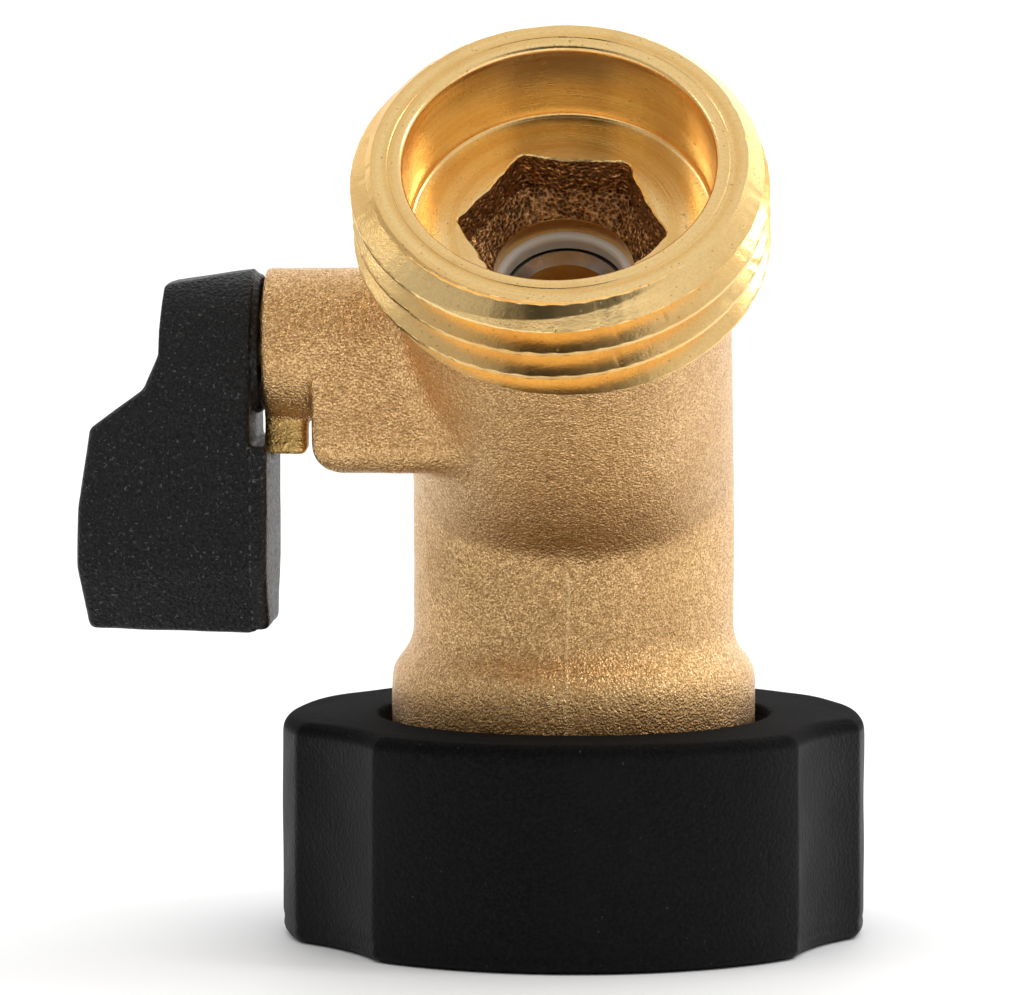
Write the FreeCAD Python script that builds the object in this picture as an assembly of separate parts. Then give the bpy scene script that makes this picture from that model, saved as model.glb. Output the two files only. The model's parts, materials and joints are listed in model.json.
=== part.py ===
import FreeCAD, Part
import math
import os

# Garden hose elbow with a quarter-turn ball shut-off, in millimetres.
#
# Frame: +Z is the inlet axis, pointing up, and the origin is the middle of the grip nut's bottom face.
# The outlet leg leans 45 degrees towards -Y. The valve stem runs along -X and carries the lever,
# which hangs straight down when the valve is open.

# ---------------------------------------------------------------- driving dimensions

# Garden hose thread, 3/4-11.5 NH
NH_PITCH = 25.4 / 11.5
NH_MALE_R = 13.49
NH_MALE_ROOT_R = 12.12
NH_FEMALE_R = 12.42
NH_FEMALE_ROOT_R = 13.75
NH_FLAT = NH_PITCH / 8
THREAD_OVERCUT = 0.12
NH_FIRST_CREST = 1.25

# Elbow casting
ELBOW_Z = 30.8
LEG_ANGLE = 45.0
LEG_R = 10.85
FLARE_R = 12.33
FLARE_TOP_Z = 20.9
FLARE_FULL_Z = 17.2
FLARE_BOTTOM_Z = 13.3
INLET_BORE_R = 5.5
PORT_R = 3.4

# Machined tail that the swivel nut turns on
TAIL_R = 12.0
TAIL_END_Z = 8.5
TAIL_LEAD = 0.4
TAIL_GROOVE_R = 11.3
RING_Z = 11.2
RING_WIRE_R = 0.7
RING_GROOVE_H = 1.5
RING_GAP_W = 3.0
RING_GAP_H = 4.0
RING_PLAY = 0.03

# Outlet leg, as distances from the elbow point along the leg axis
OUTLET_T = 31.5
RING_LENGTH = 7.6
MOUTH_T = OUTLET_T - RING_LENGTH
SHANK_DEPTH = 13.6
SHANK_END_T = OUTLET_T - SHANK_DEPTH
CUP_R = 10.05
CUP_DEPTH = 6.15
HEX_FLATS = 12.1
HEX_DEPTH = 8.9
HEX_TURN = -5.0
THROAT_R = 4.6
THROAT_DEPTH = 10.35
SHANK_R = 8.3
SHANK_LAND_R = 7.8
SHANK_LEAD = 0.3
ORING_GROOVE_R = 6.65
ORING_LAND = 0.6
ORING_GROOVE_T = SHANK_END_T + ORING_LAND
ORING_GROOVE_W = 1.5

# Ball, seats and their chamber
STEM_Y = -9.8
STEM_Z = ELBOW_Z - STEM_Y
BALL_T = -STEM_Y * math.sqrt(2.0)
BALL_R = 6.25
BALL_BORE_R = 3.2
BALL_SINK_R = 3.7
BALL_SINK_DEPTH = 0.8
CHAMBER_R = 6.8
SEAT_R = 5.5
SEAT_FRONT = 4.35
INLET_SEAT_HOLE_R = 3.4
INLET_SEAT_BACK = 7.05
OUTLET_SEAT_HOLE_R = 4.1
OUTLET_SEAT_BACK = 5.94
OUTLET_SEAT_LIP = 0.4
SEAT_GAP = 0.12
BACKING_WIRE_R = 0.55
BACKING_R = 4.75
BACKING_PLAY = 0.1
SLOT_W = 2.6
SLOT_FLOOR_X = -4.1

# Stem boss, stop lug and gland
BOSS_R = 5.0
BOSS_END_X = -20.0
BOSS_EDGE = 0.3
WEB_END_X = -16.6
WEB_BOTTOM_Z = 32.2
WEB_EDGE = 2.0
LUG_INNER_X = -17.2
LUG_BOTTOM_Z = 33.3
LUG_HALF_W = 1.5
STEM_BORE_R = 3.3
STEM_TIP_BORE_R = 2.7
STEM_STEP_X = -9.4
GLAND_R = 3.95
GLAND_HOLE_R = 2.75
GLAND_INNER_X = -16.9
GLAND_SLOT_W = 1.0
GLAND_SLOT_DEPTH = 0.8
GLAND_RECESS = 0.2

# Stem
STEM_R = 3.22
STEM_TIP_R = 2.55
STEM_INNER_X = -8.0
STEM_STEP_PLAY = 0.2
STEM_SHOULDER_PLAY = 0.05
STEM_SEAL_PLAY = 0.02
STEM_NECK_R = 2.65
STEM_END_X = -24.2
STEM_FLATS = 4.0
STEM_GROOVE_R = 2.35
STEM_GROOVE_W = 1.3
STEM_GROOVES_X = (-11.1, -13.9)
TANG_W = 2.4
TANG_L = 4.6
TANG_PLAY = 0.2
THRUST_WASHER_T = 0.6
THRUST_WASHER_PLAY = 0.1

# Lever
HUB_INNER_X = -20.65
HUB_OUTER_X = -26.7
HUB_R = 4.95
HUB_DRAFT = 0.95
HUB_CROWN = 0.25
HUB_COLLAR_R = 4.6
HUB_COLLAR_GAP = 0.12
HUB_FLAT_Z = STEM_Z - 0.5
SHOULDER_X = -27.7
SHOULDER_Z = 37.8
SHOULDER_END_X = -31.2
SHOULDER_END_Z = 35.2
LEVER_X = -32.05
LEVER_BULGE = 0.05
LEVER_BULGE_Z = 30.0
LEVER_TIP_SET = 0.6
LEVER_TIP_H = 0.3
LEVER_END_Z = 21.6
LEVER_HALF_W = 5.6
LEVER_END_HALF_W = 3.0
LEVER_RIDGE_Z = 26.1
SKIRT_X = -19.5
SKIRT_TOP_Z = 34.1
SKIRT_LIFT = 0.25
SKIRT_EDGE = 0.4
LEVER_EDGE = 0.5
STOP_R = 7.75
STOP_GAP = 0.15
STOP_ROOT = 0.6
STOP_BOSS_GAP = 0.25
REAR_STOP_H = 2.2
REAR_STOP_T = 1.6
SCREW_R = 1.5
SCREW_HEAD_R = 2.8
SCREW_HEAD_H = 1.3
SCREW_SEAT_X = -25.2
SCREW_TIP_X = -19.0
SCREW_TIP_GAP = 0.3
SCREW_EDGE = 0.5
SCREW_HOLE_PLAY = 0.1
SCREW_SEAT_PLAY = 0.3
SCREW_CROSS_L = 3.4
SCREW_CROSS_W = 0.7
SCREW_CROSS_DEPTH = 0.9
HANDLE_PLAY = 0.03
HANDLE_SOCKET_GAP = 0.1

# Swivel nut and rubber grip
GRIP_R = 19.74
GRIP_H = 15.0
GRIP_HOLE_R = 13.25
GRIP_FLUTE_HALF = 14.45
GRIP_FLUTE_DEPTH = 1.3
GRIP_FLUTE_ANGLE = 65.9
GRIP_LIP_Z = 12.9
GRIP_TOP_EDGE = 1.1
GRIP_BOTTOM_EDGE = 0.8
NUT_R = 15.2
NUT_KEY_R = 15.9
NUT_KEYS = 12
NUT_KEY_W = 2.0
NUT_KEY_H = 8.0
NUT_KEY_Z = 2.6
NUT_BOTTOM_Z = 0.8
NUT_BORE_R = 12.1
NUT_BORE_Z = 8.35
RELIEF_R = 13.85
RELIEF_Z = 5.7
THREAD_RUNOUT = 0.6
NUT_THREAD_LEAD = 1.2
RING_ROOM = 0.3
RING_ROOM_H = 0.1
WASHER_R = 13.0
WASHER_HOLE_R = 8.2
WASHER_Z = 5.85
WASHER_GAP = 0.2

# Room that a cutting shape runs past the part, so that no face is left in line
PAST = 1.0
FAR = 40.0
NEAR = 0.1

V = FreeCAD.Vector
X_AXIS = V(1, 0, 0)
Z_AXIS = V(0, 0, 1)
LEG_PLACE = FreeCAD.Placement(V(0, 0, ELBOW_Z), FreeCAD.Rotation(X_AXIS, LEG_ANGLE))
STEM_PLACE = FreeCAD.Placement(V(0, STEM_Y, STEM_Z), FreeCAD.Rotation(V(0, 1, 0), -90))


# ---------------------------------------------------------------- helpers

def lathe(points):
    """Solid of revolution about Z of a closed outline of (radius, height) points."""
    outline = Part.makePolygon([V(r, 0, h) for r, h in points + points[:1]])
    return Part.Face(outline).revolve(V(0, 0, 0), Z_AXIS, 360)


def rod(radius, low, high):
    """Cylinder about Z between two heights."""
    return Part.makeCylinder(radius, high - low, V(0, 0, low))


def tube(outer, inner, low, high):
    """Plain ring about Z."""
    return rod(outer, low, high).cut(rod(inner, low - PAST, high + PAST))


def torus(ring_radius, wire_radius, height):
    """O-ring about Z, centred at a height."""
    return Part.makeTorus(ring_radius, wire_radius, V(0, 0, height))


def on_leg(shape):
    """Places a shape made about Z, with Z counted from the elbow point, on the outlet leg."""
    shape.Placement = LEG_PLACE * shape.Placement
    return shape


def on_stem(shape):
    """Places a shape made about Z, with Z counted outwards from the ball, on the stem axis."""
    shape.Placement = STEM_PLACE * shape.Placement
    return shape


def out(x):
    """Distance outwards along the stem axis of a place given by its X."""
    return -x


def thread_cutter(crest_r, root_r, low, high):
    """Helical V tool about Z: widest at the thread's crest radius and narrow at its root radius."""
    over = math.copysign(THREAD_OVERCUT, crest_r - root_r)
    slope = (NH_PITCH / 2 - NH_FLAT) / abs(crest_r - root_r)
    half_root = NH_FLAT / 2
    half_mouth = NH_PITCH / 2 - NH_FLAT / 2 + THREAD_OVERCUT * slope
    points = [V(crest_r + over, 0, -half_mouth), V(root_r, 0, -half_root),
              V(root_r, 0, half_root), V(crest_r + over, 0, half_mouth)]
    profile = Part.makePolygon(points + points[:1])
    helix = Part.makeLongHelix(NH_PITCH, high - low, crest_r, 0, False)
    tool = Part.Wire(helix).makePipeShell([profile], True, True)
    tool.translate(V(0, 0, low))
    return tool


def round_edges(shape, edges, radius):
    """Fillets the chosen edges of a shape."""
    return shape.makeFillet(radius, edges)


def edges_where(shape, test):
    """Edges whose middle point passes a test."""
    chosen = []
    for edge in shape.Edges:
        low, high = edge.ParameterRange
        if test(edge.valueAt((low + high) / 2)):
            chosen.append(edge)
    return chosen


# ---------------------------------------------------------------- elbow casting

def flare_outline():
    """Inlet leg and flare: an S of two equal arcs joins the leg to the wider collar."""
    step = FLARE_R - LEG_R
    drop = FLARE_TOP_Z - FLARE_FULL_Z
    middle = V(LEG_R + step / 2, 0, (FLARE_TOP_Z + FLARE_FULL_Z) / 2)
    arc_r = (step ** 2 + drop ** 2) / (4 * step)
    half = math.asin(drop / 2 / arc_r) / 2
    dx = arc_r * (1 - math.cos(half))
    dz = arc_r * math.sin(half)
    top = V(LEG_R, 0, FLARE_TOP_Z)
    full = V(FLARE_R, 0, FLARE_FULL_Z)
    edges = [Part.makeLine(V(0, 0, ELBOW_Z), V(LEG_R, 0, ELBOW_Z)),
             Part.makeLine(V(LEG_R, 0, ELBOW_Z), top),
             Part.Arc(top, V(LEG_R + dx, 0, FLARE_TOP_Z - dz), middle).toShape(),
             Part.Arc(middle, V(FLARE_R - dx, 0, FLARE_FULL_Z + dz), full).toShape()]
    corners = [full, V(FLARE_R, 0, FLARE_BOTTOM_Z), V(TAIL_R, 0, FLARE_BOTTOM_Z),
               V(TAIL_R, 0, TAIL_END_Z + TAIL_LEAD), V(TAIL_R - TAIL_LEAD, 0, TAIL_END_Z),
               V(0, 0, TAIL_END_Z), V(0, 0, ELBOW_Z)]
    for start, end in zip(corners, corners[1:]):
        edges.append(Part.makeLine(start, end))
    return Part.Wire(edges)


def boss_web():
    """Web under the stem boss: round at the top like the boss, flat sides, rounded lower edges."""
    web = Part.makeBox(-WEB_END_X, 2 * BOSS_R, STEM_Z - WEB_BOTTOM_Z,
                       V(WEB_END_X, STEM_Y - BOSS_R, WEB_BOTTOM_Z))
    lower = edges_where(web, lambda p: p.z < WEB_BOTTOM_Z + NEAR and p.x < -PAST)
    return round_edges(web, lower, WEB_EDGE)


def stop_lug():
    """Cast lug under the boss end that limits the lever's swing."""
    return Part.makeBox(LUG_INNER_X - BOSS_END_X, 2 * LUG_HALF_W, STEM_Z - LUG_BOTTOM_Z,
                        V(BOSS_END_X, STEM_Y - LUG_HALF_W, LUG_BOTTOM_Z))


def make_valve_body():
    leg = Part.Face(flare_outline()).revolve(V(0, 0, 0), Z_AXIS, 360)
    knuckle = Part.makeSphere(LEG_R, V(0, 0, ELBOW_Z))
    outlet_leg = on_leg(rod(LEG_R, 0, MOUTH_T))
    body = leg.fuse([knuckle, outlet_leg]).removeSplitter()

    boss = on_stem(rod(BOSS_R, 0, out(BOSS_END_X)))
    boss = round_edges(boss, edges_where(boss, lambda p: p.x < BOSS_END_X + NEAR), BOSS_EDGE)
    branch = boss.fuse(boss_web()).removeSplitter()
    body = body.fuse([branch, stop_lug()]).removeSplitter()

    inlet_seat_t = BALL_T - INLET_SEAT_BACK
    bend = Part.makeSphere(INLET_BORE_R, V(0, 0, ELBOW_Z))
    inlet = rod(INLET_BORE_R, TAIL_END_Z - PAST, ELBOW_Z).fuse(bend)
    outlet = on_leg(lathe([(0, 0), (PORT_R, 0), (PORT_R, inlet_seat_t), (SEAT_R, inlet_seat_t),
                           (SEAT_R, BALL_T - SEAT_FRONT), (CHAMBER_R, BALL_T - SEAT_FRONT),
                           (CHAMBER_R, SHANK_END_T), (SHANK_LAND_R, SHANK_END_T),
                           (SHANK_LAND_R, ORING_GROOVE_T + ORING_GROOVE_W),
                           (SHANK_R, ORING_GROOVE_T + ORING_GROOVE_W + SHANK_LEAD),
                           (SHANK_R, MOUTH_T + PAST), (0, MOUTH_T + PAST)]))
    stem = on_stem(lathe([(0, 0), (STEM_TIP_BORE_R, 0), (STEM_TIP_BORE_R, out(STEM_STEP_X)),
                          (STEM_BORE_R, out(STEM_STEP_X)), (STEM_BORE_R, out(GLAND_INNER_X)),
                          (GLAND_R, out(GLAND_INNER_X)), (GLAND_R, out(BOSS_END_X) + PAST),
                          (0, out(BOSS_END_X) + PAST)]))
    groove = tube(TAIL_R + PAST, TAIL_GROOVE_R, RING_Z - RING_GROOVE_H / 2, RING_Z + RING_GROOVE_H / 2)
    return body.cut([inlet, outlet, stem, groove])


# ---------------------------------------------------------------- outlet connector and seals

def threaded_ring():
    """Male hose thread of the outlet, cut right through to the ring's back, with a chamfered nose."""
    low = OUTLET_T - NH_FIRST_CREST - 4.25 * NH_PITCH
    thread = thread_cutter(NH_MALE_R, NH_MALE_ROOT_R, low, OUTLET_T + NH_PITCH)
    ring = tube(NH_MALE_R, SHANK_LAND_R, MOUTH_T, OUTLET_T).cut(thread)
    nose = OUTLET_T - (NH_MALE_R - NH_MALE_ROOT_R)
    chamfer = lathe([(NH_MALE_ROOT_R, OUTLET_T), (NH_MALE_R, nose), (NH_MALE_R + PAST, nose - PAST),
                     (NH_MALE_R + PAST, OUTLET_T + PAST), (NH_MALE_ROOT_R - PAST, OUTLET_T + PAST)])
    return ring.cut(chamfer)


def hex_socket():
    """Cast six-sided recess that the connector is tightened with. Its floor slopes to the throat."""
    corner_r = HEX_FLATS / 2 / math.cos(math.radians(30))
    corners = []
    for i in range(7):
        angle = math.radians(60 * i + HEX_TURN)
        corners.append(V(corner_r * math.cos(angle), corner_r * math.sin(angle), OUTLET_T - HEX_DEPTH))
    walls = Part.Face(Part.makePolygon(corners)).extrude(V(0, 0, HEX_DEPTH))
    floor = lathe([(0, OUTLET_T - THROAT_DEPTH), (THROAT_R, OUTLET_T - THROAT_DEPTH),
                   (HEX_FLATS / 2, OUTLET_T - HEX_DEPTH), (HEX_FLATS / 2, OUTLET_T - CUP_DEPTH),
                   (0, OUTLET_T - CUP_DEPTH)])
    return walls.fuse(floor)


def make_outlet_connector():
    groove_top = ORING_GROOVE_T + ORING_GROOVE_W
    core = lathe([(0, SHANK_END_T), (SHANK_LAND_R, SHANK_END_T), (SHANK_LAND_R, ORING_GROOVE_T),
                  (ORING_GROOVE_R, ORING_GROOVE_T), (ORING_GROOVE_R, groove_top),
                  (SHANK_LAND_R, groove_top), (SHANK_R, groove_top + SHANK_LEAD), (SHANK_R, MOUTH_T),
                  (SHANK_R + PAST, MOUTH_T), (SHANK_R + PAST, OUTLET_T), (0, OUTLET_T)])
    cup = rod(CUP_R, OUTLET_T - CUP_DEPTH, OUTLET_T + PAST)
    throat = rod(THROAT_R, SHANK_END_T - PAST, OUTLET_T)
    pocket = rod(SEAT_R, SHANK_END_T - PAST, BALL_T + OUTLET_SEAT_BACK)
    return on_leg(threaded_ring().fuse(core).cut([cup, throat, pocket, hex_socket()]).removeSplitter())


def make_connector_o_ring():
    wire = (SHANK_LAND_R - ORING_GROOVE_R) / 2
    return on_leg(torus(ORING_GROOVE_R + wire, wire, ORING_GROOVE_T + ORING_GROOVE_W / 2))


def seat(hole_r, front, back):
    """PTFE seat about Z, with Z counted from the ball's middle: flat back, front hollowed for the ball."""
    ring = tube(SEAT_R, hole_r, front, back)
    return ring.cut(Part.makeSphere(BALL_R + SEAT_GAP))


def make_outlet_seat():
    ring = seat(OUTLET_SEAT_HOLE_R, SEAT_FRONT, OUTLET_SEAT_BACK)
    lip = edges_where(ring, lambda p: p.z > OUTLET_SEAT_BACK - NEAR and math.hypot(p.x, p.y) < SEAT_R - NEAR)
    ring = round_edges(ring, lip, OUTLET_SEAT_LIP)
    ring.translate(V(0, 0, BALL_T))
    return on_leg(ring)


def make_inlet_seat():
    ring = seat(INLET_SEAT_HOLE_R, -INLET_SEAT_BACK, -SEAT_FRONT)
    groove = tube(SEAT_R + PAST, BACKING_R - BACKING_WIRE_R, -INLET_SEAT_BACK - PAST,
                  2 * BACKING_WIRE_R - INLET_SEAT_BACK)
    ring = ring.cut(groove)
    ring.translate(V(0, 0, BALL_T))
    return on_leg(ring)


def make_seat_backing_ring():
    return on_leg(torus(SEAT_R - BACKING_WIRE_R - BACKING_PLAY, BACKING_WIRE_R,
                        BALL_T - INLET_SEAT_BACK + BACKING_WIRE_R))


# ---------------------------------------------------------------- ball and stem

def make_ball():
    """Ball with a countersunk waterway and a slot across its side for the stem's tang."""
    ball = Part.makeSphere(BALL_R)
    bore = rod(BALL_BORE_R, -BALL_R, BALL_R)
    slot = Part.makeBox(BALL_R, 2 * BALL_R, SLOT_W, V(SLOT_FLOOR_X - BALL_R, -BALL_R, -SLOT_W / 2))
    edge = math.sqrt(BALL_R ** 2 - BALL_SINK_R ** 2)
    sink = lathe([(0, edge - BALL_SINK_DEPTH), (BALL_BORE_R, edge - BALL_SINK_DEPTH), (BALL_SINK_R, edge),
                  (BALL_SINK_R, BALL_R), (0, BALL_R)])
    ball = ball.cut([bore, slot, sink, sink.mirror(V(0, 0, 0), Z_AXIS)])
    ball.translate(V(0, 0, BALL_T))
    return on_leg(ball)


def make_stem():
    step = out(STEM_STEP_X) + STEM_STEP_PLAY
    profile = [(0, out(STEM_INNER_X)), (STEM_TIP_R, out(STEM_INNER_X)), (STEM_TIP_R, step), (STEM_R, step)]
    for x in STEM_GROOVES_X:
        near = out(x) - STEM_GROOVE_W / 2
        far = out(x) + STEM_GROOVE_W / 2
        profile += [(STEM_R, near), (STEM_GROOVE_R, near), (STEM_GROOVE_R, far), (STEM_R, far)]
    shoulder = out(GLAND_INNER_X) - THRUST_WASHER_T - STEM_SHOULDER_PLAY
    profile += [(STEM_R, shoulder), (STEM_NECK_R, shoulder), (STEM_NECK_R, out(STEM_END_X)),
                (0, out(STEM_END_X))]
    shaft = lathe(profile)
    flat_length = out(STEM_END_X) - out(HUB_INNER_X)
    for low in (-STEM_FLATS / 2 - STEM_NECK_R, STEM_FLATS / 2):
        flat = Part.makeBox(2 * STEM_NECK_R, STEM_NECK_R, flat_length + PAST,
                            V(-STEM_NECK_R, low, out(HUB_INNER_X)))
        shaft = shaft.cut(flat)
    shaft = shaft.cut(rod(SCREW_R, out(SCREW_TIP_X), out(STEM_END_X) + PAST))
    tang_start = out(SLOT_FLOOR_X) + TANG_PLAY
    tang = Part.makeBox(TANG_W, TANG_L, out(STEM_INNER_X) + TANG_PLAY - tang_start,
                        V(-TANG_W / 2, -TANG_L / 2, tang_start))
    tang = tang.common(rod(STEM_TIP_R, 0, FAR))
    tang.rotate(V(0, 0, 0), Z_AXIS, -LEG_ANGLE)
    return on_stem(shaft.fuse(tang))


def stem_o_ring(x):
    wire = (STEM_BORE_R - STEM_GROOVE_R) / 2 - STEM_SEAL_PLAY
    return on_stem(torus(STEM_GROOVE_R + wire, wire, out(x)))


def make_stem_inner_o_ring():
    return stem_o_ring(STEM_GROOVES_X[0])


def make_stem_outer_o_ring():
    return stem_o_ring(STEM_GROOVES_X[1])


def make_stem_thrust_washer():
    return on_stem(tube(STEM_BORE_R - STEM_SEAL_PLAY, STEM_NECK_R + THRUST_WASHER_PLAY,
                        out(GLAND_INNER_X) - THRUST_WASHER_T, out(GLAND_INNER_X)))


def make_stem_gland():
    outer = out(BOSS_END_X) - GLAND_RECESS
    gland = tube(GLAND_R, GLAND_HOLE_R, out(GLAND_INNER_X), outer)
    slot = Part.makeBox(FAR, GLAND_SLOT_W, FAR, V(-FAR / 2, -GLAND_SLOT_W / 2, outer - GLAND_SLOT_DEPTH))
    return on_stem(gland.cut(slot))


# ---------------------------------------------------------------- lever

def lever_side_outline():
    """Side outline in the XZ plane: hub, sloping shoulder and thick finger grip."""
    return [V(HUB_INNER_X, 0, STEM_Z + HUB_R), V(HUB_OUTER_X + HUB_CROWN, 0, STEM_Z + HUB_R - HUB_DRAFT),
            V(HUB_OUTER_X, 0, HUB_FLAT_Z), V(SHOULDER_X, 0, SHOULDER_Z), V(SHOULDER_END_X, 0, SHOULDER_END_Z),
            V(LEVER_X + LEVER_BULGE, 0, LEVER_BULGE_Z), V(LEVER_X, 0, LEVER_RIDGE_Z),
            V(LEVER_X + LEVER_TIP_SET, 0, LEVER_END_Z + LEVER_TIP_H), V(HUB_INNER_X, 0, LEVER_END_Z)]


def lever_front_outline(half, end_half, top):
    """Outline across the lever, seen along the stem: a round top, straight sides, a narrowed end."""
    left = V(0, STEM_Y - half, LEVER_RIDGE_Z)
    right = V(0, STEM_Y + half, LEVER_RIDGE_Z)
    left_end = V(0, STEM_Y - end_half, LEVER_END_Z - PAST)
    right_end = V(0, STEM_Y + end_half, LEVER_END_Z - PAST)
    crown = V(0, STEM_Y, top)
    edges = [Part.makeLine(V(0, STEM_Y - HUB_R, STEM_Z), left),
             Part.makeLine(left, left_end),
             Part.makeLine(left_end, right_end),
             Part.makeLine(right_end, right),
             Part.makeLine(right, V(0, STEM_Y + HUB_R, STEM_Z)),
             Part.Arc(V(0, STEM_Y + HUB_R, STEM_Z), crown, V(0, STEM_Y - HUB_R, STEM_Z)).toShape()]
    return Part.Wire(edges)


def handle_socket():
    """Flatted hole for the stem's end, with the screw's hole and seat beyond it."""
    inner = out(HUB_INNER_X) - PAST
    width = STEM_FLATS + 2 * HANDLE_PLAY
    hole = rod(STEM_NECK_R + HANDLE_PLAY, inner, out(STEM_END_X) + HANDLE_SOCKET_GAP)
    flats = Part.makeBox(FAR, width, FAR, V(-FAR / 2, -width / 2, inner))
    screw_hole = rod(SCREW_R + SCREW_HOLE_PLAY, out(STEM_END_X), out(SCREW_SEAT_X) + PAST)
    screw_seat = rod(SCREW_HEAD_R + SCREW_SEAT_PLAY, out(SCREW_SEAT_X), out(HUB_OUTER_X) + PAST)
    return [on_stem(hole.common(flats)), on_stem(screw_hole), on_stem(screw_seat)]


def make_lever_handle():
    side = lever_side_outline()
    slab = Part.Face(Part.makePolygon(side + side[:1])).extrude(V(0, FAR, 0))
    slab.translate(V(0, STEM_Y - FAR / 2, 0))
    outline = lever_front_outline(LEVER_HALF_W, LEVER_END_HALF_W, STEM_Z + HUB_R)
    front = Part.Face(outline).extrude(V(-FAR, 0, 0))
    front.translate(V(SKIRT_X, 0, 0))
    lever = slab.common(front).removeSplitter()
    outer = edges_where(lever, lambda p: p.x < HUB_INNER_X - NEAR and p.z < HUB_FLAT_Z + NEAR)
    lever = round_edges(lever, outer, LEVER_EDGE)

    skirt_bottom = LEVER_END_Z + SKIRT_LIFT
    skirt = front.common(Part.makeBox(SKIRT_X - HUB_INNER_X, FAR, SKIRT_TOP_Z - skirt_bottom,
                                      V(HUB_INNER_X, STEM_Y - FAR / 2, skirt_bottom)))
    skirt = round_edges(skirt, edges_where(skirt, lambda p: p.x > SKIRT_X - NEAR), SKIRT_EDGE)
    lever = lever.fuse([skirt, lever_rear_stop()]).removeSplitter()
    lever = lever.cut(handle_socket() + [lug_track()])
    return lever.fuse(hub_collar()).removeSplitter()


def hub_collar():
    """Round collar that closes the gap between the lever's hub and the end of the boss."""
    return on_stem(tube(HUB_COLLAR_R, STEM_NECK_R + SCREW_HOLE_PLAY, out(BOSS_END_X) + HUB_COLLAR_GAP,
                        out(HUB_INNER_X)))


def lug_track():
    """Quarter ring cut in the lever's inner side: the stop lug runs in it from open to closed."""
    ring = tube(STOP_R, PAST, out(SKIRT_X) - PAST, out(HUB_INNER_X))
    side = LUG_HALF_W + STOP_GAP
    quarter = Part.makeBox(FAR + side, FAR + side, FAR, V(-FAR, -side, 0))
    return on_stem(ring.common(quarter))


def lever_rear_stop():
    """Tab on the back of the hub that meets the stop lug when the valve is closed."""
    outer_r = STOP_R - STOP_GAP
    far_end = out(HUB_INNER_X) + REAR_STOP_T
    root = tube(outer_r, HUB_R - STOP_ROOT, out(HUB_INNER_X), far_end)
    tip = tube(outer_r, BOSS_R + STOP_BOSS_GAP, out(SKIRT_X), far_end)
    slice_box = Part.makeBox(REAR_STOP_H, FAR, FAR, V(LUG_HALF_W + STOP_GAP, 0, 0))
    return on_stem(root.fuse(tip).common(slice_box))


def make_handle_screw():
    head = rod(SCREW_HEAD_R, out(SCREW_SEAT_X), out(SCREW_SEAT_X) + SCREW_HEAD_H)
    top = out(SCREW_SEAT_X) + SCREW_HEAD_H
    head = round_edges(head, edges_where(head, lambda p: p.z > top - NEAR), SCREW_EDGE)
    shank = rod(SCREW_R, out(SCREW_TIP_X) + SCREW_TIP_GAP, out(SCREW_SEAT_X))
    screw = head.fuse(shank)
    for angle in (0, 90):
        blade = Part.makeBox(SCREW_CROSS_L, SCREW_CROSS_W, FAR,
                             V(-SCREW_CROSS_L / 2, -SCREW_CROSS_W / 2, top - SCREW_CROSS_DEPTH))
        blade.rotate(V(0, 0, 0), Z_AXIS, angle)
        screw = screw.cut(blade)
    return on_stem(screw)


# ---------------------------------------------------------------- swivel nut, washer and grip

def nut_keys():
    """Keys around the brass nut that lock it in the rubber grip."""
    keys = []
    for i in range(NUT_KEYS):
        key = Part.makeBox(NUT_KEY_R - NUT_R + PAST, NUT_KEY_W, NUT_KEY_H,
                           V(NUT_R - PAST, -NUT_KEY_W / 2, NUT_KEY_Z))
        key.rotate(V(0, 0, 0), Z_AXIS, 360 / NUT_KEYS * i)
        keys.append(key)
    return keys


def make_swivel_nut():
    below = NUT_BOTTOM_Z - PAST
    bore = lathe([(0, below), (NH_FEMALE_R, below), (NH_FEMALE_R, NUT_BORE_Z),
                  (NUT_BORE_R, NUT_BORE_Z), (NUT_BORE_R, GRIP_LIP_Z + PAST), (0, GRIP_LIP_Z + PAST)])
    thread = thread_cutter(NH_FEMALE_R, NH_FEMALE_ROOT_R, NUT_BOTTOM_Z - NUT_THREAD_LEAD * NH_PITCH,
                           RELIEF_Z + THREAD_RUNOUT)
    nut = rod(NUT_R, NUT_BOTTOM_Z, GRIP_LIP_Z).cut(bore).cut(thread)
    mouth_top = NUT_BOTTOM_Z + NH_FEMALE_ROOT_R - NH_FEMALE_R
    mouth = lathe([(0, below), (NH_FEMALE_ROOT_R + PAST, below), (NH_FEMALE_R, mouth_top), (0, mouth_top)])
    relief = tube(RELIEF_R, NH_FEMALE_R - PAST, RELIEF_Z, NUT_BORE_Z)
    groove_r = TAIL_GROOVE_R + 2 * RING_WIRE_R + RING_ROOM
    groove_half = RING_GROOVE_H / 2 + RING_ROOM_H
    groove = tube(groove_r, NUT_BORE_R - PAST, RING_Z - groove_half, RING_Z + groove_half)
    return nut.cut([mouth, relief, groove]).fuse(nut_keys())


def make_retaining_ring():
    ring = torus(TAIL_GROOVE_R + RING_WIRE_R + RING_PLAY, RING_WIRE_R, RING_Z)
    gap = Part.makeBox(RING_GAP_H, RING_GAP_W, RING_GAP_H,
                       V(TAIL_GROOVE_R - PAST, -RING_GAP_W / 2, RING_Z - RING_GAP_H / 2))
    return ring.cut(gap)


def make_hose_washer():
    return tube(WASHER_R, WASHER_HOLE_R, WASHER_Z, TAIL_END_Z - WASHER_GAP)


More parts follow.
